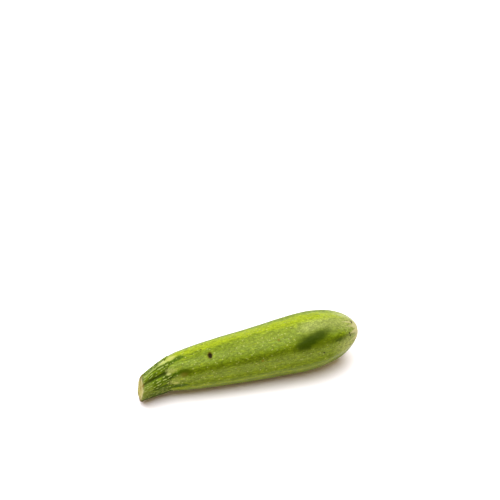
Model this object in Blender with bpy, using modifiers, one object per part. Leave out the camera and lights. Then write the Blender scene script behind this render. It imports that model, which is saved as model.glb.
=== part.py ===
"""A light green zucchini as picked, lying on its belly: the fruit, and the cut stub of its ridged stem.

Blender 4.5, metres, +Z up. The fruit runs along +X, from the stem to the blossom scar.
Every surface starts as a turned blank round the X axis. Its points are then raised into ribs by formula and
carried onto the fruit's own bent axis, and the belly is cut flat where the fruit rests.
"""

import math

import bmesh
import bpy
from mathutils import Matrix, Vector

# Driving dimensions of the fruit, in metres. "Along" is measured from where the straight axis starts to bend.
FRUIT_END = 0.1405
BELLY_AT = 0.0905         # along, where the taper ends and the rounded blossom end begins
AXIS_HEIGHT = 0.0154      # height of the axis over the table at along 0, with no sink
TAPER = 0.064             # the fruit's radius and its axis's height grow by this share of the way along
SHOULDER_DROP = 0.0017    # how much slimmer than the plain taper the fruit is at along 0
SHOULDER_RUN = 0.018
BLOSSOM_POWER = 0.55      # of the blossom end's rounding: 0.5 is half an ellipse, more is pointed
DOME_TIP = -0.0105        # along, the fruit's end inside the stem
DOME_END = 0.0060         # along, where the rounding of that end is over
SCAR_RADIUS = 0.0040
SCAR_DEPTH = 0.0004
SINK = 0.0005             # how far the belly would dip below the table, and is cut flat

# Driving dimensions of the stem
CUT_AT = -0.0268
CUT_SLANT_SIDE = 0.020    # the knife went aslant: the cut's -Y side reaches further out by this share,
CUT_SLANT_DOWN = 0.235    # and its lower side by this one
JOINT_AT = -0.0065        # along, where the stem's rim lies between its lobes
JOINT_RADIUS = 0.0120     # of the stem, before its ridges
CUT_RADIUS = 0.0091
CUT_HOLLOW = 0.0007       # the dried cut is sunk by this much in its middle
CUT_ROUNDING = 0.0022     # of the worn edge of the cut
LIP = 0.0006              # thickness of the stem's rim, where it lies on the fruit
SEAT_GAP = 0.0003         # between the stem and the fruit
RIM_WIDTH = 0.0003        # of the rim between the lobes, past the joint
LOBE_LENGTH = 0.0038

# How the axis bends: the stem hooks towards -Y and droops to the table
BOW = 0.0005
HOOK = 0.0074
DROOP = 0.0015
BEND_POWER = 1.5

# Ribs and ridges: how many, the angle of one from +Y towards +Z, and their height as a share of the radius
RIBS = 8
RIB_ANGLE = math.radians(94)
RIB_HEIGHT = 0.012
RIDGES = 5
RIDGE_ANGLE = math.radians(91)
TWIST = math.radians(-8)  # of the stem's ridges, from the joint to the cut
RIDGE_HEIGHT = 0.17
SWELLING = 0.022          # of the fruit between the stem's lobes, which continue its ribs

FRUIT_SIDES = 72
FRUIT_RINGS = 42
STEM_SIDES = 80
STEM_RINGS = 11

SKIN_GREEN = (0.33, 0.47, 0.12, 1.0)
STEM_GREEN = (0.13, 0.30, 0.05, 1.0)


def smooth(share):
    """Eases 0 to 1."""
    share = min(max(share, 0.0), 1.0)
    return share * share * (3 - 2 * share)


def on_axis(along, radius, angle):
    """A point at this radius and angle round the bent axis, in a section that slants more towards the cut."""
    side_step, rise = radius * math.cos(angle), radius * math.sin(angle)
    slant = smooth((along - JOINT_AT) / (CUT_AT - JOINT_AT))
    bend = (min(along, 0.0) / CUT_AT) ** BEND_POWER
    bow_slope = math.pi * BOW / FRUIT_END
    side = -BOW * math.sin(math.pi * max(along, 0.0) / FRUIT_END) - bow_slope * min(along, 0.0) - HOOK * bend
    height = AXIS_HEIGHT - SINK + TAPER * along - DROOP * bend
    slid = along + slant * (CUT_SLANT_SIDE * side_step + CUT_SLANT_DOWN * rise)
    return Vector((slid, side + side_step, height + rise))


def fruit_radius(along):
    """The fruit's mean radius: a taper with a shoulder, a dome in the stem and a rounded blossom end."""
    body = AXIS_HEIGHT + TAPER * max(along, 0.0) - SHOULDER_DROP * math.exp(-max(along, 0.0) / SHOULDER_RUN)
    dome = min(max((DOME_END - along) / (DOME_END - DOME_TIP), 0.0), 1.0)
    blossom = min(max((along - BELLY_AT) / (FRUIT_END - BELLY_AT), 0.0), 1.0)
    return body * math.sqrt(1 - dome**3) * (1 - blossom**2) ** BLOSSOM_POWER


def rib_turn(angle):
    """The phase of the ribs round the fruit, whole turns on their crests. They aren't quite evenly spaced."""
    return RIBS * (angle - RIB_ANGLE) + 0.35 * math.sin(2 * angle)


def fruit_relief(along, angle):
    """Height as a share of the mean radius: swellings between the stem's lobes, then eight low ribs."""
    share = along / FRUIT_END
    neck = math.exp(-max(along, 0.0) / 0.016)
    growth = 0.7 + 0.9 * smooth((share - 0.70) / 0.25)
    ribs = (RIB_HEIGHT * growth * (1 - neck) - SWELLING * neck) * math.cos(rib_turn(angle))
    lumps = 0.006 * math.sin(2 * angle + 5 * share) + 0.005 * math.sin(3 * angle - 9 * share)
    return (ribs + lumps) * smooth((along - DOME_TIP) / (JOINT_AT - DOME_TIP))


def fruit_place(along, radius, angle):
    """Where a point of the fruit's blank ends up."""
    return on_axis(along, radius * (1 + fruit_relief(along, angle)), angle)


def over_fruit(along, radius, angle):
    """Past the joint, stretches the stem's blank into lobes, each point keeping its height over the fruit."""
    if along <= JOINT_AT:
        return along, radius
    lobe = (0.5 + 0.5 * math.cos(rib_turn(angle))) ** 1.2
    reached = JOINT_AT + (along - JOINT_AT) * (1 + LOBE_LENGTH / RIM_WIDTH * lobe)
    return reached, fruit_radius(reached) + radius - fruit_radius(JOINT_AT)


def stem_place(along, radius, angle):
    """Where a point of the stem's outside ends up: broad ridges up to the joint, then hugging the fruit."""
    past = along - JOINT_AT
    own_shape = smooth(0.4 - 0.4 * past / RIM_WIDTH) if past > 0 else smooth(0.4 - past / 0.008)
    turn = RIDGES * (angle - RIDGE_ANGLE - TWIST * along / CUT_AT)
    ridges = abs(math.cos(0.5 * turn)) ** 1.2 - 0.62
    along, radius = over_fruit(along, radius, angle)
    relief = own_shape * RIDGE_HEIGHT * ridges + (1 - own_shape) * fruit_relief(along, angle)
    return on_axis(along, radius * (1 + relief), angle)


def seat_place(along, radius, angle):
    """Where a point of the stem's hollow seat ends up: it follows the fruit, the seat gap away."""
    along, radius = over_fruit(along, radius, angle)
    return on_axis(along, radius * (1 + fruit_relief(along, angle)), angle)


def dome_profile(gap):
    """(Along, radius) of the fruit's end inside the stem, up to the joint, moved out by a gap."""
    points = []
    for ring in range(7):
        turn = 0.5 * math.pi * ring / 6
        along = JOINT_AT + (DOME_TIP - JOINT_AT) * math.cos(turn) ** 1.5
        points.append((along - gap * math.cos(turn), fruit_radius(along) + (gap if ring else 0.0)))
    return points


def fruit_profile():
    """(Along, radius) from the dome in the stem to the middle of the blossom scar."""
    tip_share = SCAR_RADIUS / (AXIS_HEIGHT + TAPER * FRUIT_END)
    scar_at = BELLY_AT + (FRUIT_END - BELLY_AT) * math.sqrt(1 - tip_share ** (1 / BLOSSOM_POWER))
    points = dome_profile(0.0)
    for ring in range(1, FRUIT_RINGS + 1):
        share = 0.5 - 0.5 * math.cos(math.pi * ring / FRUIT_RINGS)
        along = JOINT_AT + (scar_at - JOINT_AT) * share
        points.append((along, fruit_radius(along)))
    points.append((scar_at + 0.3 * SCAR_DEPTH, 0.80 * SCAR_RADIUS))
    points.append((scar_at - 0.5 * SCAR_DEPTH, 0.60 * SCAR_RADIUS))
    points.append((scar_at - SCAR_DEPTH, 0.0))
    return points


def stem_profile():
    """(Along, radius) of the stem's outside, from the middle of the cut to the rim."""
    face = CUT_RADIUS - CUT_ROUNDING
    points = [(CUT_AT + CUT_HOLLOW, 0.0), (CUT_AT + 0.8 * CUT_HOLLOW, 0.5 * face), (CUT_AT, 0.92 * face)]
    for step in range(4):
        turn = 0.5 * math.pi * step / 4
        points.append((CUT_AT + CUT_ROUNDING * (1 - math.cos(turn)), face + CUT_ROUNDING * math.sin(turn)))
    start = CUT_AT + CUT_ROUNDING
    for ring in range(STEM_RINGS + 1):
        share = ring / STEM_RINGS
        points.append((start + (JOINT_AT - start) * share, CUT_RADIUS + (JOINT_RADIUS - CUT_RADIUS) * share))
    seat = fruit_radius(JOINT_AT) + SEAT_GAP
    for share in (0.3, 0.6, 0.9):
        height = LIP + (JOINT_RADIUS - seat - LIP) * (1 - share) ** 2
        points.append((JOINT_AT + RIM_WIDTH * share, seat + height))
    points.append((JOINT_AT + RIM_WIDTH, seat + 0.5 * LIP))
    return points


def seat_profile():
    """(Along, radius) of the stem's seat, from its middle to the rim."""
    seat = fruit_radius(JOINT_AT) + SEAT_GAP
    return dome_profile(SEAT_GAP) + [(JOINT_AT + RIM_WIDTH * share, seat) for share in (0.3, 0.6, 0.95)]


def turned(profile, sides, place):
    """Turns a profile round the X axis with a Screw modifier, then moves each point where place says."""
    blank = bpy.data.meshes.new("blank")
    edges = [(i, i + 1) for i in range(len(profile) - 1)]
    blank.from_pydata([(along, 0.0, radius) for along, radius in profile], edges, [])
    turning = bpy.data.objects.new("turning", blank)
    bpy.context.scene.collection.objects.link(turning)
    screw = turning.modifiers.new("turn", "SCREW")
    screw.axis = "X"
    screw.steps = screw.render_steps = sides
    screw.use_merge_vertices = True
    screw.merge_threshold = 0.00001
    bpy.context.view_layer.update()
    graph = bpy.context.evaluated_depsgraph_get()
    mesh = bpy.data.meshes.new_from_object(turning.evaluated_get(graph))
    bpy.data.objects.remove(turning)
    for vertex in mesh.vertices:
        along, y, z = vertex.co
        vertex.co = place(along, math.hypot(y, z), math.atan2(z, y))
    return mesh


def closed_solid(sheets):
    """Joins turned sheets into one closed bmesh, bridging the rims where two of them end side by side."""
    solid = bmesh.new()
    for sheet in sheets:
        solid.from_mesh(sheet)
        bpy.data.meshes.remove(sheet)
    bmesh.ops.remove_doubles(solid, verts=solid.verts, dist=0.00001)
    rims = [edge for edge in solid.edges if edge.is_boundary]
    if rims:
        bmesh.ops.bridge_loops(solid, edges=rims)
    bmesh.ops.recalc_face_normals(solid, faces=solid.faces)
    return solid


def cut_at_table(solid):
    """Cuts off what dips below the table, and closes the cut with a flat face."""
    whole = solid.verts[:] + solid.edges[:] + solid.faces[:]
    made = bmesh.ops.bisect_plane(solid, geom=whole, dist=0.000001, plane_no=(0, 0, -1), clear_outer=True)
    edges = [item for item in made["geom_cut"] if isinstance(item, bmesh.types.BMEdge)]
    bmesh.ops.contextual_create(solid, geom=[edge for edge in edges if edge.is_boundary])
    bmesh.ops.recalc_face_normals(solid, faces=solid.faces)


def material(name, colour, roughness):
    made = bpy.data.materials.new(name)
    made.use_nodes = True
    shader = made.node_tree.nodes["Principled BSDF"]
    shader.inputs["Base Color"].default_value = colour
    shader.inputs["Roughness"].default_value = roughness
    shader.inputs["Metallic"].default_value = 0.0
    return made


def add_piece(name, solid, finish, collection, holder):
    """Makes the finished solid an object of its own, held by the zucchini's empty."""
    mesh = bpy.data.meshes.new(name)
    solid.to_mesh(mesh)
    solid.free()
    mesh.shade_smooth()
    mesh.set_sharp_from_angle(angle=math.radians(50))
    mesh.materials.append(finish)
    piece = bpy.data.objects.new(name, mesh)
    collection.objects.link(piece)
    piece.parent = holder
    return piece


def centre_of(pieces):
    """The middle of all pieces' box, in plan."""
    corners = [vertex.co for piece in pieces for vertex in piece.data.vertices]
    middle = [(min(c[k] for c in corners) + max(c[k] for c in corners)) / 2 for k in (0, 1)]
    return Vector((*middle, 0.0))


def main():
    for old in list(bpy.data.objects):
        bpy.data.objects.remove(old)
    zucchini = bpy.data.collections.new("zucchini")
    bpy.context.scene.collection.children.link(zucchini)
    holder = bpy.data.objects.new("zucchini_centre", None)
    zucchini.objects.link(holder)

    fruit = closed_solid([turned(fruit_profile(), FRUIT_SIDES, fruit_place)])
    cut_at_table(fruit)
    stem = closed_solid(
        [turned(stem_profile(), STEM_SIDES, stem_place), turned(seat_profile(), STEM_SIDES, seat_place)]
    )
    pieces = [
        add_piece("fruit", fruit, material("fruit_skin", SKIN_GREEN, 0.42), zucchini, holder),
        add_piece("stem", stem, material("stem_skin", STEM_GREEN, 0.55), zucchini, holder),
    ]
    holder.matrix_world = Matrix.Translation(-centre_of(pieces))


main()
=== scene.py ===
"""Looks of a light green zucchini lying on its belly: its ribbed fruit and the cut stub of its ridged stem.

Each piece starts as a blank turned round the X axis. Its points are then raised by formula, as in the solids,
with finer creases and bumps added. For its colour, each point also keeps where it grew on the plain shape and
how much of each marking it has. Lengths are in metres.
"""

import math

import bmesh
import bpy
from mathutils import Matrix, Vector, noise


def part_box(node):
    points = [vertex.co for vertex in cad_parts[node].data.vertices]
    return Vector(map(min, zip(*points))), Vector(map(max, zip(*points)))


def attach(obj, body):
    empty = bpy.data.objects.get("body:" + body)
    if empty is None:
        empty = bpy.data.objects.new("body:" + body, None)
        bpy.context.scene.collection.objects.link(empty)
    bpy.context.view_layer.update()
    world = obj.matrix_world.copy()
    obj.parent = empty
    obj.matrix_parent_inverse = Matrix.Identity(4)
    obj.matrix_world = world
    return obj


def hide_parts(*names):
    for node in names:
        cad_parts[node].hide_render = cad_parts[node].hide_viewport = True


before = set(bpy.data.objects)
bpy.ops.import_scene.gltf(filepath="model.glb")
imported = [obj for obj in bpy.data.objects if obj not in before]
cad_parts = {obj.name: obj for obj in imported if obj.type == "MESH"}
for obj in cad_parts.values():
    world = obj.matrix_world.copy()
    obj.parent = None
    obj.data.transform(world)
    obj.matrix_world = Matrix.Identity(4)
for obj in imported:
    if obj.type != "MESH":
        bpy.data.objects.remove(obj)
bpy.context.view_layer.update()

# The fruit. "Along" is measured from where its straight axis starts to bend, as in the solids.
FRUIT_END = 0.1405
BELLY_AT = 0.0905
AXIS_HEIGHT = 0.0154
TAPER = 0.064
SHOULDER_DROP = 0.0017
SHOULDER_RUN = 0.018
BLOSSOM_POWER = 0.55
DOME_TIP = -0.0105
DOME_END = 0.0060
SCAR_RADIUS = 0.0040
SCAR_DEPTH = 0.0004
SINK = 0.0005
FRUIT_SIDES = 288

# How the axis bends
BOW = 0.0005
HOOK = 0.0074
DROOP = 0.0015
BEND_POWER = 1.5

# The fruit's ribs, the angle of one of them from +Y towards +Z, and their heights as shares of the radius
RIBS = 8
RIB_ANGLE = math.radians(94)
RIB_SWAY = 0.35
RIB_HEIGHT = 0.012
RIB_START, RIB_GAIN, GAIN_FROM, GAIN_RUN = 0.7, 0.9, 0.70, 0.25
NECK_RUN = 0.016
SWELLING = 0.022
# Its lumps: height, how many there are round it, and how they drift from end to end
LUMPS = ((0.006, 2, 5), (0.005, 3, -9))

# The stem
CUT_AT = -0.0268
CUT_SLANT_SIDE = 0.020
CUT_SLANT_DOWN = 0.235
CUT_RADIUS = 0.0091
CUT_HOLLOW = 0.0007
HOLLOW_SHARE = 0.92
CUT_ROUNDING = 0.0022
ROUNDED_SHARE = 0.15
JOINT_AT = -0.0065
JOINT_RADIUS = 0.0120
STEM_SIDES = 360

# The stem's rim, its lobes on the fruit's shoulder, and the seat that the fruit's end is held in
LIP = 0.0006
RIM_WIDTH = 0.0003
RIM_TUCK = 0.0003
RIM_POWER = 6
LOBE_LENGTH = 0.0038
LOBE_POWER = 1.2
LOBE_RAGGEDNESS, LOBE_NOTCHES = 0.35, 9
SEAT_GAP = 0.0001
SEAT_TUCK = 0.0004
TUCK_SHARE = 0.125
STRAIGHT_SHARE = 0.4

# The stem's broad ridges, and how much of them is left at the joint
RIDGES = 5
RIDGE_ANGLE = math.radians(91)
TWIST = math.radians(-8)
RIDGE_HEIGHT = 0.17
RIDGE_POWER = 1.2
RIDGE_MEAN = 0.62
LEFT_AT_JOINT = 0.4
RIDGE_FADE = 0.008

# Stations along the blanks: ends of the fruit's skin and scar, and of the stem's cut, outside, rim and seat
SKIN_END, SCAR_END = 1, 2
CUT_END, OUTSIDE_END, RIM_END, SEAT_END = 1, 2, 3, 4

# From the fruit's own zero to the frame's
MIDDLE = Vector((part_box("fruit")[0].x - DOME_TIP, 0.0004063, 0.0))


def clamped(share):
    """The share, or 0 or 1 if it is past them."""
    return min(max(share, 0.0), 1.0)


def smooth(share):
    """Eases 0 to 1."""
    share = clamped(share)
    return share * share * (3 - 2 * share)


def bell(offset):
    """1 at no offset, falling off to almost 0 at an offset of 2."""
    return math.exp(-(offset**2))


def swell(turn):
    """1 at whole turns and 0 half way between them. The turn is in radians."""
    return 0.5 + 0.5 * math.cos(turn)


def dip(turn):
    """0 at whole turns and 1 half way between them. The turn is in radians."""
    return 0.5 - 0.5 * math.cos(turn)


def ring_point(along, radius, angle):
    """A point at this radius and angle round the straight axis."""
    return Vector((along, radius * math.cos(angle), radius * math.sin(angle)))


def on_axis(along, radius, angle):
    """A point at this radius and angle round the bent axis, in a section that slants more towards the cut."""
    side_step, rise = radius * math.cos(angle), radius * math.sin(angle)
    slant = smooth((along - JOINT_AT) / (CUT_AT - JOINT_AT))
    bend = (min(along, 0.0) / CUT_AT) ** BEND_POWER
    bow_slope = math.pi * BOW / FRUIT_END
    bow = -BOW * math.sin(math.pi * max(along, 0.0) / FRUIT_END) - bow_slope * min(along, 0.0)
    side = bow - HOOK * bend
    height = AXIS_HEIGHT - SINK + TAPER * along - DROOP * bend
    slid = along + slant * (CUT_SLANT_SIDE * side_step + CUT_SLANT_DOWN * rise)
    return Vector((slid, side + side_step, height + rise)) + MIDDLE


def fruit_radius(along):
    """The fruit's mean radius: a taper with a shoulder, a dome in the stem and a rounded blossom end."""
    belly = max(along, 0.0)
    body = AXIS_HEIGHT + TAPER * belly - SHOULDER_DROP * math.exp(-belly / SHOULDER_RUN)
    dome = clamped((DOME_END - along) / (DOME_END - DOME_TIP))
    blossom = clamped((along - BELLY_AT) / (FRUIT_END - BELLY_AT))
    return body * math.sqrt(1 - dome**3) * (1 - blossom**2) ** BLOSSOM_POWER


def rib_turn(angle):
    """The phase of the ribs round the fruit, whole turns on their crests."""
    return RIBS * (angle - RIB_ANGLE) + RIB_SWAY * math.sin(2 * angle)


def fruit_relief(along, angle):
    """Height over the mean radius, as a share of it."""
    share = along / FRUIT_END
    neck = math.exp(-max(along, 0.0) / NECK_RUN)
    growth = RIB_START + RIB_GAIN * smooth((share - GAIN_FROM) / GAIN_RUN)
    ribs = (RIB_HEIGHT * growth * (1 - neck) - SWELLING * neck) * math.cos(rib_turn(angle))
    lumps = sum(height * math.sin(count * angle + drift * share) for height, count, drift in LUMPS)
    return (ribs + lumps) * smooth((along - DOME_TIP) / (JOINT_AT - DOME_TIP))


# The skin before it has ribs is where each marking is placed and measured


def grown_at(along, angle, radius=None):
    """A place on the fruit before it has ribs, or at another radius. The angle is in degrees."""
    return ring_point(along, radius or fruit_radius(along), math.radians(angle))


def off_mark(grown, mark, length, width):
    """How many of its own sizes a point is from a mark that is this long, and this wide round the fruit."""
    gap = grown - mark
    return math.sqrt((gap.x / length) ** 2 + (gap.y**2 + gap.z**2) / width**2)


def streaked(grown, length, width, seed):
    """Smooth noise from -1 to 1 that is drawn out lengthwise."""
    return noise.noise(Vector((grown.x / length + seed, grown.y / width, grown.z / width)))


def grainy(grown, grains):
    """The height of a rough place, from each grain's height and fineness."""
    return sum(height * noise.noise(grown * fineness) for height, fineness in grains)


def crest(angle, roundness):
    """1 on the ribs' crests, falling off to 0 half way to the next."""
    return 1 - math.sqrt(math.sin(0.5 * rib_turn(angle)) ** 2 + roundness**2)


def round_by(angle, centre):
    """How far an angle is from a centre, in degrees. The angle is in radians."""
    return abs(math.remainder(math.degrees(angle) - centre, 360))


def banded(angle, bands):
    """How much an angle is in bands that each have a middle, a half width and a strength."""
    return sum(strength * bell(round_by(angle, middle) / width) for middle, width, strength in bands)


def nearest_line(angle, along, lines, width):
    """1 on the nearest of the stem's lines, falling off to 0 over this many degrees."""
    share = smooth((along - CUT_AT) / (JOINT_AT - CUT_AT))
    return max(
        strength * bell(round_by(angle, start + (end - start) * share) / width)
        for start, end, strength in lines)


# Round the fruit, in degrees: middle, half width and strength of its darker stripes, its yellower sides and
# its mottled bands. The yellower band at 74 degrees, on the top, is painted light that falls on the top.
STRIPES = ((92, 4, 0.20), (144, 8, 1.0), (187, 4, 0.35), (208, 8, 0.5), (231, 7, 0.7), (276, 5, 0.5),
           (320, 8, 0.8), (4, 6, 0.6), (28, 5, 0.4), (48, 6, 0.25))
YELLOW_SIDES_AND_LIT_TOP = ((74, 15, 1.0), (195, 5, 0.45), (297, 15, 0.35), (345, 13, 0.6))
MOTTLED_BANDS = ((90, 7, 0.75), (145, 14, 0.6), (4, 9, 0.9), (231, 12, 0.6), (50, 5, 0.15))

# How they wander, pale and drift round the fruit. Noise is given by the length, width and seed of its lumps.
STRIPE_SWAY, SWAY_LUMPS = 0.07, (0.035, 0.012, 1.7)
STRIPE_MEAN, STRIPE_CHANGE, CHANGE_LUMPS = 0.8, 0.7, (0.022, 0.010, 6.1)
SIDE_DRIFT, DRIFT_FROM, DRIFT_RUN = 0.13, 0.035, 0.06
SIDE_EDGE = 1.5
END_MOTTLING, MOTTLED_FROM, MOTTLED_RUN = 0.8, 0.116, 0.014

# The blossom scar: noise on a ring, drawn out from the middle, makes its rays. Each stage of its cork has the
# radius that it reaches, how far the rays take it, and over how much it fades.
RAY_RING = 0.005
BROAD_RAYS, FINE_RAYS, FINE_RAY_SHARE = (0.012, 0.0007, 9.3), (0.007, 0.0003, 4.1), 0.8
CORK = ((0.0150, 0.0045, 0.0085), (0.0046, 0.0008, 0.0022))
SCAR_GRAINS = ((0.00025, 900), (-0.0002, 2100))
SCAR_GRAINS_GAIN = 4

# The green arms that run from the stem's lobes onto the fruit, and the pale tongues between them
ARM_SWAY, ARM_WAVE, ARM_POWER = 0.5, 0.004, 3.5
ARM_END, ARM_FADE = 0.013, 0.012
TONGUE_POWER, TONGUE_RUN = 0.7, 0.010
RIM_TONGUE_POWER, RIM_TONGUE_START, RIM_TONGUE_RUN = 3, 0.0035, 0.004

# The fruit's finer shape
CREST_HEIGHT, CREST_ROUNDNESS, CREST_MEAN = 0.00055, 0.10, 0.38
FINE_BLOSSOM_RUN, FINE_NECK_RUN = 0.012, 0.014
WAVE_HEIGHT, WAVES = 0.00016, (0.022, 0.009, 3.1)
RIPPLE_HEIGHT, RIPPLES = 0.00009, (0.009, 0.0035, 7.7)
CREASE_HEIGHT, CREASES = 0.00030, (0.012, 0.0016, 11.3)
PUCKER_HEIGHT, PUCKERS = 0.00020, (0.003, 0.0016, 5.9)
FINE_FROM, FINE_RUN = -0.0085, 0.003

# The insect's pit and its raised rim
PIT = grown_at(0.0257, 112)
PIT_LENGTH, PIT_WIDTH, PIT_DEPTH = 0.0016, 0.0024, 0.0010
PIT_RIM_SHARE, PIT_RIM_AT, PIT_RIM_WIDTH = 0.12, 1.3, 0.3

# The stem's sharp ridges and furrows: their angles at the cut and at the joint, in degrees, and strength
RIDGE_LINES = ((85, 87, 1.0), (147, 143, 0.25), (188, 198, 0.7), (240, 243, 0.8), (296, 300, 0.5),
               (350, 352, 1.0), (36, 40, 0.5))
FURROWS = ((119, 125, 1.0), (166, 168, 0.5), (214, 220, 1.0), (268, 272, 0.7), (323, 326, 1.0), (12, 16, 0.8),
           (60, 64, 0.8))
RIDGE_WIDTH, FURROW_WIDTH, LINE_HEIGHT = 6, 7, 0.00040

# Its rows of bumps, its fine grain, and the stations between which both show
BUMP_ROWS, ROW_SWAY, ROW_LUMPS = 40, 3.0, (0.007, 0.005, 2.2)
KNOT_MEAN, KNOT_CHANGE, KNOT_LUMPS = 0.66, 1.1, (0.0019, 0.0012, 4.4)
FURROW_BARENESS = 0.7
BUMP_GAIN, BUMP_FLOOR, BUMP_HEIGHT = 1.6, 0.36, 0.00032
GRAIN_HEIGHT, GRAIN_LUMPS = 0.00022, (0.016, 0.0022, 8.4)
ROUGH_FROM, ROUGH_RUN, ROUGH_TO, ROUGH_FADE = 1.04, 0.08, 2.95, 0.5

# Its cut: where its colour and its edge are, and its ring of veins
CUT_GRAINS = ((0.00022, 700), (0.00012, 1900))
CUT_COLOUR_TO, CUT_COLOUR_RUN = 1.05, 0.05
EDGE_WIDTH = 0.07
VEIN_RING, VEIN_RING_SWAY, VEIN_RING_WIDTH = 0.66, 0.05, 0.10
VEINS, VEIN_MEAN, VEIN_CHANGE, VEIN_GAIN, VEIN_FINENESS = 10, 0.35, 0.65, 0.9, 300


def fine_relief(grown, along, angle):
    """The fruit's finer shape: sharper crests, creases at its ends, slow unevenness and the insect's pit."""
    blossom = smooth((FRUIT_END - along) / FINE_BLOSSOM_RUN)
    neck = math.exp(-max(along, 0.0) / FINE_NECK_RUN)
    height = CREST_HEIGHT * (crest(angle, CREST_ROUNDNESS) - CREST_MEAN) * (1 - neck) * blossom
    height += WAVE_HEIGHT * streaked(grown, *WAVES)
    height += RIPPLE_HEIGHT * streaked(grown, *RIPPLES)
    height += CREASE_HEIGHT * neck * streaked(grown, *CREASES)
    height += PUCKER_HEIGHT * (1 - blossom) * streaked(grown, *PUCKERS)
    pit = off_mark(grown, PIT, PIT_LENGTH, PIT_WIDTH)
    height += PIT_DEPTH * (PIT_RIM_SHARE * bell((pit - PIT_RIM_AT) / PIT_RIM_WIDTH) - math.exp(-(pit**4)))
    return height * smooth((along - FINE_FROM) / FINE_RUN)


def turned(points, cuts, sides):
    """Turns a line of (along, radius) points round the X axis, each of its stretches cut finer first."""
    blank = bmesh.new()
    corners = [blank.verts.new((along, 0.0, radius)) for along, radius in points]
    edges = [blank.edges.new(pair) for pair in zip(corners, corners[1:])]
    for edge, count in zip(edges, cuts):
        if count:
            bmesh.ops.subdivide_edges(blank, edges=[edge], cuts=count)
    line = blank.verts[:] + blank.edges[:]
    bmesh.ops.spin(blank, geom=line, axis=(1, 0, 0), angle=math.tau, steps=sides, use_merge=True)
    bmesh.ops.remove_doubles(blank, verts=blank.verts, dist=0.00001)
    bmesh.ops.recalc_face_normals(blank, faces=blank.faces)
    return blank


def marking_layers(blank, names):
    """Layers for what each point keeps: its markings, and where it grew."""
    layers = {name: blank.verts.layers.float.new(name) for name in names}
    layers["grown"] = blank.verts.layers.float_vector.new("grown")
    return layers


def shape_point(vertex, place, layers, kept):
    """Moves a blank's point to its place, but not under the floor, and gives it what it keeps."""
    place.z = max(place.z, 0.0)
    vertex.co = place
    for name, value in kept.items():
        vertex[layers[name]] = value


def finished(name, solid, skin, node):
    """Makes a shaped blank an object that rides on the zucchini and stands for its solid."""
    mesh = bpy.data.meshes.new(name)
    solid.to_mesh(mesh)
    solid.free()
    mesh.shade_smooth()
    mesh.materials.append(skin)
    piece = bpy.data.objects.new(name, mesh)
    bpy.context.scene.collection.objects.link(piece)
    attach(piece, "root")
    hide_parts(node)


def fruit_markings(grown, along, radius, angle):
    """Where a point of the fruit grew, and how much of each marking it has."""
    wandered = angle + STRIPE_SWAY * streaked(grown, *SWAY_LUMPS)
    drifted = wandered - SIDE_DRIFT * smooth((along - DRIFT_FROM) / DRIFT_RUN)
    paled = STRIPE_MEAN + STRIPE_CHANGE * streaked(grown, *CHANGE_LUMPS)
    end_mottling = END_MOTTLING * smooth((along - MOTTLED_FROM) / MOTTLED_RUN)
    ring = ring_point(radius, RAY_RING, angle)
    rays = streaked(ring, *BROAD_RAYS) + FINE_RAY_SHARE * streaked(ring, *FINE_RAYS)
    cork = sum(smooth((reach - radius + spread * rays) / fade) for reach, spread, fade in CORK)
    arm = swell(rib_turn(angle) + ARM_SWAY * math.sin(along / ARM_WAVE))
    return {
        "grown": grown,
        "stripe": paled * banded(wandered, STRIPES),
        # partly painted light: the yellower band on the top stands in for the light that falls on it
        "yellow_and_lit_top": sum(
            strength * smooth(SIDE_EDGE - round_by(drifted, middle) / width)
            for middle, width, strength in YELLOW_SIDES_AND_LIT_TOP),
        "mottled": end_mottling + banded(drifted, MOTTLED_BANDS),
        # painted sheen: how far a point is between two crests, where a greyer green is laid
        "sheen_flank": dip(rib_turn(angle)),
        "scar": cork if along > BELLY_AT else 0.0,
        "arm": arm**ARM_POWER * smooth((ARM_END - along) / ARM_FADE),
        "tongue": (1 - arm) ** TONGUE_POWER * math.exp(-max(along - JOINT_AT, 0.0) / TONGUE_RUN),
    }


def ribbed_fruit():
    """The fruit, from its hidden end in the stem to the blossom scar."""
    tip_share = SCAR_RADIUS / (AXIS_HEIGHT + TAPER * FRUIT_END)
    scar_at = BELLY_AT + (FRUIT_END - BELLY_AT) * math.sqrt(1 - tip_share ** (1 / BLOSSOM_POWER))
    points = [(0, 0), (0.002, 1), (SKIN_END, 1), (1.99, 1), (SCAR_END, 0)]
    fruit = turned(points, [0, 255, 14, 0], FRUIT_SIDES)
    layers = marking_layers(fruit, ("stripe", "yellow_and_lit_top", "mottled", "sheen_flank", "scar", "arm", "tongue"))
    for vertex in fruit.verts:
        station, y, z = vertex.co
        angle = math.atan2(z, y)
        along = DOME_TIP + (scar_at - DOME_TIP) * dip(math.pi * min(station, SKIN_END))
        radius = fruit_radius(along)
        inward = clamped(SCAR_END - station)
        if station > SKIN_END:
            radius *= inward
            along -= SCAR_DEPTH * (1 - inward**3)
        elif station == 0:
            radius = 0.0
        grown = ring_point(along, radius, angle)
        raised = radius * (1 + fruit_relief(along, angle)) + fine_relief(grown, along, angle) * inward
        place = on_axis(along, raised, angle)
        if station > SKIN_END:
            place.x += grainy(grown, SCAR_GRAINS) * smooth(SCAR_GRAINS_GAIN * (1 - inward))
        shape_point(vertex, place, layers, fruit_markings(grown, along, radius, angle))
    return fruit


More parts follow.
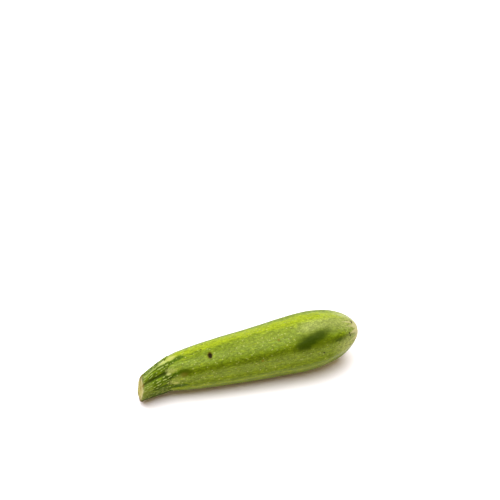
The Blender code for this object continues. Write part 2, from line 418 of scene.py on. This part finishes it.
def stem_line(station):
    """(Along, radius) of the stem at a station of its blank, before it has ridges and lobes."""
    seat = fruit_radius(JOINT_AT)
    if station <= CUT_END:
        hollow = CUT_HOLLOW * (1 - smooth(station / HOLLOW_SHARE))
        return CUT_AT + hollow, station * (CUT_RADIUS - CUT_ROUNDING)
    if station <= OUTSIDE_END:
        share = station - CUT_END
        if share < ROUNDED_SHARE:
            turn = 0.5 * math.pi * share / ROUNDED_SHARE
            along = CUT_AT + CUT_ROUNDING * (1 - math.cos(turn))
            return along, CUT_RADIUS - CUT_ROUNDING * (1 - math.sin(turn))
        share = (share - ROUNDED_SHARE) / (1 - ROUNDED_SHARE)
        start = CUT_AT + CUT_ROUNDING
        return start + (JOINT_AT - start) * share, CUT_RADIUS + (JOINT_RADIUS - CUT_RADIUS) * share
    if station <= RIM_END:
        share = station - OUTSIDE_END
        height = (LIP + (JOINT_RADIUS - seat - LIP) * (1 - share) ** 2) * math.sqrt(1 - share**RIM_POWER)
        return JOINT_AT, seat + height - RIM_TUCK * share**RIM_POWER
    share = station - RIM_END
    gap = SEAT_GAP - SEAT_TUCK * max(1 - share / TUCK_SHARE, 0.0)
    along = JOINT_AT + (DOME_TIP - JOINT_AT) * smooth((share - STRAIGHT_SHARE) / (1 - STRAIGHT_SHARE))
    return along, (fruit_radius(along) + gap) * (share < 1)


def stem_surface(station, angle):
    """(Along, radius, relief) of the stem: broad ridges up to the joint, then lobes that hug the fruit."""
    along, radius = stem_line(station)
    ridge_turn = RIDGES * (angle - RIDGE_ANGLE - TWIST * along / CUT_AT)
    ridges = abs(math.cos(0.5 * ridge_turn)) ** RIDGE_POWER - RIDGE_MEAN
    if station > OUTSIDE_END:
        own_shape = smooth(LEFT_AT_JOINT - LEFT_AT_JOINT * (station - OUTSIDE_END))
        if station < RIM_END + STRAIGHT_SHARE:
            past = clamped(station - OUTSIDE_END) - clamped((station - RIM_END) / STRAIGHT_SHARE)
            lobe = swell(rib_turn(angle)) ** LOBE_POWER
            ragged = 1 + LOBE_RAGGEDNESS * noise.noise(ring_point(0.0, 1.0, angle) * LOBE_NOTCHES)
            along = JOINT_AT + past * (RIM_WIDTH + LOBE_LENGTH * lobe) * ragged
            radius += fruit_radius(along) - fruit_radius(JOINT_AT)
    else:
        own_shape = smooth(LEFT_AT_JOINT - (along - JOINT_AT) / RIDGE_FADE)
    relief = own_shape * RIDGE_HEIGHT * ridges + (1 - own_shape) * fruit_relief(along, angle)
    return along, radius, relief


def ridged_stem():
    """The stem's stub: its cut, ridges with rows of bumps, lobes on the fruit's shoulder, and its seat."""
    points = [(0, 0), (0.01, 1), (CUT_END, 1), (OUTSIDE_END, 1), (RIM_END, 1), (3.99, 1), (SEAT_END, 0)]
    stem = turned(points, [0, 30, 99, 23, 9, 0], STEM_SIDES)
    layers = marking_layers(stem, ("bump", "cut", "edge", "vein", "ridge", "furrow", "tongue"))
    for vertex in stem.verts:
        station, y, z = vertex.co
        angle = math.atan2(z, y)
        along, radius, relief = stem_surface(station, angle)
        grown = ring_point(along, radius, angle)
        rough = smooth((station - ROUGH_FROM) / ROUGH_RUN) * smooth((ROUGH_TO - station) / ROUGH_FADE)
        ridge = nearest_line(angle, along, RIDGE_LINES, RIDGE_WIDTH)
        furrow = nearest_line(angle, along, FURROWS, FURROW_WIDTH)
        rows = swell(BUMP_ROWS * angle + ROW_SWAY * streaked(grown, *ROW_LUMPS))
        knots = rows * (KNOT_MEAN + KNOT_CHANGE * streaked(grown, *KNOT_LUMPS))
        knots *= 1 - FURROW_BARENESS * furrow
        bump = smooth(BUMP_GAIN * knots - BUMP_FLOOR) * rough
        height = BUMP_HEIGHT * bump + LINE_HEIGHT * (ridge - furrow) * rough
        height += GRAIN_HEIGHT * streaked(grown, *GRAIN_LUMPS) * rough
        place = on_axis(along, radius * (1 + relief) + height, angle)
        ring = 0.0
        if station < CUT_END:
            place.x += grainy(grown, CUT_GRAINS)
            off_ring = station - VEIN_RING - VEIN_RING_SWAY * math.cos(RIDGES * angle)
            ring = bell(off_ring / VEIN_RING_WIDTH)
        bundle = smooth(VEIN_GAIN * math.cos(VEINS * angle + noise.noise(grown * VEIN_FINENESS)))
        tongue = dip(rib_turn(angle)) ** RIM_TONGUE_POWER
        shape_point(vertex, place, layers, {
            "grown": grown,
            "bump": bump,
            "ridge": ridge * rough,
            "furrow": furrow * rough,
            "cut": smooth((CUT_COLOUR_TO - station) / CUT_COLOUR_RUN),
            "edge": bell((station - CUT_END) / EDGE_WIDTH),
            "vein": ring * (VEIN_MEAN + VEIN_CHANGE * bundle),
            "tongue": tongue * smooth((along - JOINT_AT + RIM_TONGUE_START) / RIM_TONGUE_RUN),
        })
    return stem


# Colours and materials

# How bright the studio's red, green and blue light make a surface that faces up
STUDIO = (1.26, 1.33, 1.40)
SHEEN = (1.0, 0.95, 0.4, 1.0)
# The Mix node's inputs and output for colours
MIX_AMOUNT, MIX_UNDER, MIX_OVER, MIX_COLOUR = 0, 6, 7, 2
# The detail of the noise that breaks up a marking's edges, and the range of noise that shades the colour
EDGE_DETAIL = 3.0
SHADE_FROM, SHADE_TO = 0.30, 0.70
# A spot's edge is where its distance and noise add up to this, and its noise has these shares of its size
SPOT_EDGE = 1.5
SPOT_LUMP_LENGTH, SPOT_LUMP_WIDTH = 0.5, 0.4


def tint(red, green, blue):
    """The paint that looks like this screen colour, of 0 to 255, in the studio's light."""
    plain = [
        ((value / 255 + 0.055) / 1.055) ** 2.4 if value > 10 else value / 3295
        for value in (red, green, blue)]
    return [value / light for value, light in zip(plain, STUDIO)] + [1.0]


class Finish:
    """A material that is built up in layers of colour."""

    def __init__(self, name, roughness, gloss, ground):
        self.material = bpy.data.materials.new(name)
        self.material.use_nodes = True
        self.nodes = self.material.node_tree.nodes
        self.shader = self.nodes["Principled BSDF"]
        self.shader.inputs["Roughness"].default_value = roughness
        self.shader.inputs["Specular IOR Level"].default_value = gloss
        self.shader.inputs["Specular Tint"].default_value = SHEEN
        self.colour = self.add("RGB").outputs[0]
        self.colour.default_value = ground

    def feed(self, socket, value):
        """Gives a node's input its value, or links it to another node's output."""
        if isinstance(value, bpy.types.NodeSocket):
            self.material.node_tree.links.new(value, socket)
        else:
            socket.default_value = value

    def add(self, kind, inputs=(), **settings):
        """A node, its settings and its inputs, by their names or numbers."""
        made = self.nodes.new("ShaderNode" + kind)
        for name, value in settings.items():
            setattr(made, name, value)
        for name, value in dict(inputs).items():
            self.feed(made.inputs[name], value)
        return made

    def kept(self, name):
        """What each point of the piece keeps under this name."""
        return self.add("Attribute", attribute_name=name).outputs["Vector" if name == "grown" else "Fac"]

    def placed(self, size, location=(0, 0, 0), turn=(0, 0, 0)):
        """The place where the skin grew, as seen from a centre and in units of a size, (length, width)."""
        length, width = size
        scale = (length, width, width)
        inputs = {"Vector": self.kept("grown"), "Location": location, "Scale": scale, "Rotation": turn}
        return self.add("Mapping", inputs, vector_type="TEXTURE").outputs["Vector"]

    def grain(self, size, detail, seed=0.0):
        """Noise from 0 to 1 whose lumps are about this big, as (length, width)."""
        place = self.placed(size, (seed, seed, 0))
        inputs = {"Vector": place, "Scale": 1.0, "Detail": detail, "Roughness": 0.5}
        return self.add("TexNoise", inputs).outputs["Fac"]

    def ramp(self, value, low, high, least=0.0, most=1.0):
        """Eases a value from least to most as it goes from low to high."""
        inputs = {"Value": value, "From Min": low, "From Max": high, "To Min": least, "To Max": most}
        return self.add("MapRange", inputs, interpolation_type="SMOOTHSTEP").outputs["Result"]

    def maths(self, operation, first, second):
        """The sum, the product or the like of two values or outputs."""
        return self.add("Math", {0: first, 1: second}, operation=operation).outputs[0]

    def lay(self, colour, amount):
        """Lays a colour over what is there, by this amount from 0 to 1."""
        inputs = {MIX_AMOUNT: amount, MIX_UNDER: self.colour, MIX_OVER: colour}
        self.colour = self.add("Mix", inputs, data_type="RGBA").outputs[MIX_COLOUR]

    def lay_marking(self, colour, name, share, size, seed, low, high, most):
        """Lays a colour where the piece keeps more than low of a marking, fully from high on.

        A share of noise is added to what it keeps first, which breaks up the edges.
        """
        broken = self.maths("MULTIPLY", self.grain(size, EDGE_DETAIL, seed), share)
        self.lay(colour, self.ramp(self.maths("ADD", self.kept(name), broken), low, high, 0.0, most))

    def lay_grain(self, colour, size, detail, seed, low, high, most):
        """Lays a colour where noise is more than low, fully from high on."""
        self.lay(colour, self.ramp(self.grain(size, detail, seed), low, high, 0.0, most))

    def shade(self, size, seed, least, most):
        """Makes the colour darker and lighter in grains of this size, between these two brightnesses."""
        amount = self.ramp(self.grain(size, 2.0, seed), SHADE_FROM, SHADE_TO, least, most)
        self.colour = self.add("VectorMath", {0: self.colour, "Scale": amount}, operation="SCALE").outputs[0]

    def spot(self, along, angle, length, width, colour, amount, softness, lean=0.0, radius=None):
        """A mark with a ragged outline, this long and wide from its middle, and turned by a lean in degrees."""
        middle = grown_at(along, angle, radius)
        pointing = grown_at(along + length, angle + lean) - middle
        turn = Vector((1, 0, 0)).rotation_difference(pointing).to_euler() if lean else (0, 0, 0)
        place = self.placed((length, width), middle, turn)
        distance = self.add("VectorMath", {0: place}, operation="LENGTH").outputs["Value"]
        lumps = (SPOT_LUMP_LENGTH * length, SPOT_LUMP_WIDTH * width)
        ragged = self.maths("ADD", distance, self.grain(lumps, 4.0, along))
        self.lay(colour, self.ramp(ragged, SPOT_EDGE - softness, SPOT_EDGE + softness, amount, 0.0))

    def spots(self, marks, *look, radius=None):
        """Spots that are given by their first values, and look alike in the others."""
        for mark in marks:
            self.spot(*mark, *look, radius=radius)

    def done(self, bump, distance):
        """Links the finished colour and a fine bump, and hands over the material."""
        raised = self.add("Bump", {"Height": bump, "Distance": distance, "Strength": 1.0})
        self.feed(self.shader.inputs["Base Color"], self.colour)
        self.feed(self.shader.inputs["Normal"], raised.outputs["Normal"])
        return self.material


# The fruit's colours
MIDDLE_GREEN = tint(109, 132, 24)
YELLOW_GREEN = tint(146, 166, 26)
# Painted sheen, greyer than the skin
SHEEN_GREY_GREEN = tint(122, 144, 54)
LEAF_GREEN = tint(88, 108, 6)
DEEP_GREEN = tint(44, 64, 1)
ARM_GREEN = tint(66, 94, 4)
TONGUE_GREEN = tint(176, 186, 108)
TONGUE_CREAM = tint(200, 206, 118)
BAND_GREEN = tint(148, 166, 64)
PATCH_GREEN = tint(176, 188, 112)
DOT_GREEN = tint(192, 200, 118)
SMUDGE_GREEN = tint(66, 82, 2)
SMUDGE_OLIVE = tint(106, 104, 24)
CREAM = tint(196, 196, 138)
STRAW = tint(184, 164, 98)
CORK_BROWN = tint(132, 100, 46)
BARK_BROWN = tint(80, 58, 14)
DARK_BROWN = tint(26, 16, 6)
RUST_BROWN = tint(128, 108, 30)

# The stem's colours
STEM_GREEN = tint(80, 104, 4)
STEM_LIGHT = tint(118, 144, 20)
STEM_DARK = tint(54, 76, 1)
# Painted shade for the stem's furrows
FURROW_SHADE = tint(46, 64, 1)
RIDGE_GREEN = tint(160, 182, 80)
BUMP_GREEN = tint(160, 178, 96)
LOBE_GREEN = tint(168, 180, 96)
TIP_GREEN = tint(196, 206, 122)
STEM_OLIVE = tint(136, 152, 60)
CUT_STRAW = tint(190, 186, 108)
CUT_OLIVE = tint(144, 140, 44)
VEIN_BROWN = tint(128, 116, 34)
PITH_BROWN = tint(140, 112, 52)
EDGE_CREAM = tint(206, 204, 146)

# Marks on the skin: along, angle in degrees, length and width from the middle to the edge, and where these
# differ from mark to mark, colour, amount, softness and lean in degrees
PALE_PATCHES = (
    (0.1190, 106, 0.011, 0.0055), (0.1020, 108, 0.009, 0.0050), (0.1280, 60, 0.006, 0.0060),
    (0.1250, 178, 0.008, 0.0050), (0.1310, 100, 0.006, 0.0070), (0.1310, 182, 0.007, 0.0075))
DARK_BLOTCH = (
    (0.1010, 134, 0.016, 0.0066, LEAF_GREEN, 0.85, 0.7, -9),
    (0.0955, 138.5, 0.0080, 0.0042, DEEP_GREEN, 0.9, 0.5, -6),
    (0.1050, 130.5, 0.0085, 0.0036, DEEP_GREEN, 0.85, 0.6, -7),
    (0.1207, 148, 0.005, 0.0016, DEEP_GREEN, 0.6, 0.5))
PIT_AND_SMUDGE = (
    (0.0257, 112, 0.0018, 0.0028, BARK_BROWN, 0.8, 0.35),
    (0.0259, 112, 0.0012, 0.0020, DARK_BROWN, 1.0, 0.25),
    (0.0064, 142, 0.0044, 0.0026, SMUDGE_GREEN, 0.85, 0.6),
    (0.0050, 147, 0.0026, 0.0014, SMUDGE_OLIVE, 0.65, 0.8))
SPECKS = (
    (0.1078, 167, 0.0007, 0.0007), (0.1343, 102, 0.0010, 0.0010), (0.1299, 141, 0.0007, 0.0007),
    (0.1305, 149, 0.0007, 0.0007), (0.0206, 88, 0.0006, 0.0006), (0.0228, 67, 0.0006, 0.0006))
RUSTY_SPECKS = ((0.0762, 118, 0.0008, 0.0008), (0.0621, 153.5, 0.0008, 0.0008))
FRUIT_TONGUES = (
    (-0.0025, 80, 0.0058, 0.0018, TONGUE_CREAM, 0.65),
    (-0.0025, 129, 0.0030, 0.0012, TONGUE_CREAM, 0.3),
    (0.0005, 154, 0.0050, 0.0022, TONGUE_CREAM, 0.12),
    (-0.0015, 170, 0.0028, 0.0010, TONGUE_CREAM, 0.5))

# Marks on the stem, the same way, and the radius that they are at
STEM_TONGUES = (
    (-0.0075, 80, 0.0042, 0.0019), (-0.0048, 131.5, 0.0022, 0.0013), (-0.0036, 169.5, 0.0018, 0.0010))
TONGUE_RADIUS = 0.0118
EDGE_AT = CUT_AT + 0.0004
EDGE_MARKS = (
    (EDGE_AT, 46, 0.0022, 0.0030, tint(120, 108, 14)),
    (EDGE_AT, 233, 0.0018, 0.0030, tint(106, 78, 18)),
    (EDGE_AT, 290, 0.0016, 0.0024, tint(104, 80, 30)),
    (EDGE_AT, 120, 0.0010, 0.0014, tint(120, 104, 40)))
EDGE_RADIUS = 0.0082
PITH_RADIUS = 0.0002
OLIVE_RADIUS = 0.0092


def fruit_skin():
    """Waxy light green skin: mottled, striped along its ribs, with pale dots, marks and a corky scar."""
    skin = Finish("waxy light green skin", 0.38, 0.07, MIDDLE_GREEN)
    # Painted sheen: a greyer green laid between the ribs' crests stands in for the waxy skin's reflection.
    skin.lay_marking(SHEEN_GREY_GREEN, "sheen_flank", 0.5, (0.012, 0.005), 9.0, 0.35, 1.25, 0.9)
    # Partly painted light: yellow-green laid on the top band stands in for light on the top; the other bands
    # are the skin's own yellower tone.
    skin.lay_marking(YELLOW_GREEN, "yellow_and_lit_top", 2.6, (0.006, 0.0014), 4.0, 1.30, 2.25, 1.0)
    skin.lay_marking(LEAF_GREEN, "stripe", 0.5, (0.008, 0.0025), 2.0, 0.35, 1.05, 0.8)
    dashes = skin.ramp(skin.grain((0.0036, 0.0011), 3.0, 6.0), 0.49, 0.58)
    mottled = skin.ramp(skin.kept("mottled"), 0.0, 1.0, 0.10, 0.85)
    skin.lay(LEAF_GREEN, skin.maths("MULTIPLY", dashes, mottled))
    skin.lay_grain(YELLOW_GREEN, (0.0050, 0.0011), 3.0, 13.0, 0.58, 0.74, 0.45)
    skin.lay_marking(TONGUE_GREEN, "tongue", 0.7, (0.008, 0.0012), 3.0, 0.80, 1.45, 0.7)
    skin.lay_marking(ARM_GREEN, "arm", 0.5, (0.004, 0.0012), 1.0, 0.45, 0.85, 0.92)
    skin.spot(0.0700, 102, 0.032, 0.0034, BAND_GREEN, 0.35, 0.9)
    skin.spots(PALE_PATCHES, PATCH_GREEN, 0.45, 0.9)
    skin.shade((0.0024, 0.0012), 15.0, 0.78, 1.22)
    skin.shade((0.0008, 0.0007), 17.0, 0.82, 1.18)
    cells = skin.add("TexVoronoi", {"Vector": skin.placed((0.0024, 0.0021)), "Scale": 1.0})
    pale_dots = skin.ramp(cells.outputs["Distance"], 0.05, 0.34, 0.62, 0.0)
    dotted = skin.ramp(skin.grain((0.004, 0.004), 2.0, 19.0), 0.38, 0.60)
    skin.lay(DOT_GREEN, skin.maths("MULTIPLY", pale_dots, dotted))
    skin.spots(DARK_BLOTCH)
    skin.lay_marking(CREAM, "scar", 0.9, (0.0030, 0.0008), 21.0, 0.55, 1.35, 0.92)
    skin.lay_marking(STRAW, "scar", 0.8, (0.001, 0.0008), 5.0, 1.35, 2.35, 0.85)
    skin.lay_marking(CORK_BROWN, "scar", 1.6, (0.0012, 0.0006), 25.0, 2.55, 3.20, 0.8)
    skin.spots(PIT_AND_SMUDGE)
    skin.spots(SPECKS, DARK_BROWN, 0.85, 0.3)
    skin.spots(RUSTY_SPECKS, RUST_BROWN, 0.7, 0.4)
    skin.spots(FRUIT_TONGUES, 0.6)
    return skin.done(skin.grain((0.0016, 0.0009), 3.0, 7.0), 0.00016)


def stem_skin():
    """Rough dark green skin with whitish bumps on its ridges, and a dried, cream and brown cut."""
    skin = Finish("rough ridged green skin", 0.55, 0.10, STEM_GREEN)
    skin.lay_grain(STEM_LIGHT, (0.012, 0.0030), 2.0, 11.0, 0.48, 0.66, 0.75)
    skin.lay_grain(STEM_DARK, (0.008, 0.0016), 3.0, 4.0, 0.46, 0.62, 0.85)
    # Painted shade: the stem is laid darker in its furrows, where shade falls in them.
    skin.lay_marking(FURROW_SHADE, "furrow", 0.4, (0.006, 0.0012), 14.0, 0.45, 1.05, 0.9)
    skin.lay_marking(RIDGE_GREEN, "ridge", 0.4, (0.005, 0.0008), 12.0, 0.80, 1.20, 0.65)
    skin.lay_marking(BUMP_GREEN, "bump", 0.4, (0.002, 0.0008), 6.0, 0.50, 1.15, 0.85)
    skin.lay(LOBE_GREEN, skin.ramp(skin.kept("tongue"), 0.35, 0.95, 0.0, 0.5))
    skin.spots(STEM_TONGUES, TIP_GREEN, 0.7, 0.55, radius=TONGUE_RADIUS)
    skin.spot(-0.0232, 164, 0.0036, 0.0062, STEM_OLIVE, 0.5, 0.9, radius=OLIVE_RADIUS)
    skin.lay(CUT_STRAW, skin.kept("cut"))
    mottling = skin.ramp(skin.grain((0.0016, 0.0012), 4.0), 0.40, 0.75, 0.0, 0.8)
    skin.lay(CUT_OLIVE, skin.maths("MULTIPLY", skin.kept("cut"), mottling))
    skin.lay_marking(VEIN_BROWN, "vein", 0.5, (0.0008, 0.0008), 18.0, 0.45, 1.05, 0.75)
    skin.spot(CUT_AT + CUT_HOLLOW, 0, 0.0020, 0.0016, PITH_BROWN, 0.7, 0.8, radius=PITH_RADIUS)
    dried = skin.ramp(skin.grain((0.003, 0.003), 2.0, 8.0), 0.30, 0.60, 0.2, 0.9)
    skin.lay(EDGE_CREAM, skin.maths("MULTIPLY", skin.kept("edge"), dried))
    skin.spots(EDGE_MARKS, 0.8, 0.6, radius=EDGE_RADIUS)
    return skin.done(skin.grain((0.0012, 0.0005), 3.0, 7.0), 0.00025)


# The floor and the studio

FLOOR_SIZE = 40.0
FLOOR_DROP = 0.00002
FLOOR_WHITE = (0.93, 0.89, 0.88, 1.0)
FLOOR_ROUGHNESS = 0.9
LAMP_STRENGTH = 5.2
LAMP_WIDTH = math.radians(84)
LAMP_COLOUR = (0.90, 1.0, 1.12)
LAMP_DIRECTION = Vector((-0.05, 0.20, 0.98))
ROOM_COLOUR = (1.0, 0.69, 0.47, 1.0)
ROOM_STRENGTH = 0.54
LENS_LENGTH = 85
LENS_START = 0.01
CAMERA_AT = (-0.15990, -0.59503, 0.63635)
CAMERA_BACK = Vector((-0.2006, -0.7393, 0.6428))


def pale_floor():
    """A plain pale floor, which the zucchini lies on."""
    ground = bmesh.new()
    bmesh.ops.create_grid(ground, x_segments=1, y_segments=1, size=FLOOR_SIZE)
    mesh = bpy.data.meshes.new("pale_floor")
    ground.to_mesh(mesh)
    ground.free()
    mesh.transform(Matrix.Translation((0, 0, -FLOOR_DROP)))
    white = bpy.data.materials.new("pale matt floor")
    white.use_nodes = True
    paint = white.node_tree.nodes["Principled BSDF"].inputs
    paint["Base Color"].default_value = FLOOR_WHITE
    paint["Roughness"].default_value = FLOOR_ROUGHNESS
    mesh.materials.append(white)
    floor = bpy.data.objects.new("pale_floor", mesh)
    bpy.context.scene.collection.objects.link(floor)


def studio():
    """Soft light from above, a little behind, and a dim room. The camera stands where the photo was taken."""
    scene = bpy.context.scene
    lamp = bpy.data.lights.new("softbox", "SUN")
    lamp.energy = LAMP_STRENGTH
    lamp.angle = LAMP_WIDTH
    lamp.color = LAMP_COLOUR
    softbox = bpy.data.objects.new("softbox", lamp)
    softbox.rotation_euler = LAMP_DIRECTION.to_track_quat("Z", "Y").to_euler()
    scene.collection.objects.link(softbox)

    room = bpy.data.worlds.new("dim room")
    room.use_nodes = True
    light = room.node_tree.nodes["Background"].inputs
    light["Color"].default_value = ROOM_COLOUR
    light["Strength"].default_value = ROOM_STRENGTH
    scene.world = room
    scene.view_settings.view_transform = "Standard"

    lens = bpy.data.cameras.new("camera")
    lens.lens = LENS_LENGTH
    lens.clip_start = LENS_START
    camera = bpy.data.objects.new("camera", lens)
    camera.location = CAMERA_AT
    camera.rotation_euler = (-CAMERA_BACK).to_track_quat("-Z", "Y").to_euler()
    scene.collection.objects.link(camera)
    scene.camera = camera


finished("ribbed_fruit", ribbed_fruit(), fruit_skin(), "fruit")
finished("ridged_stem", ridged_stem(), stem_skin(), "stem")
pale_floor()
studio()
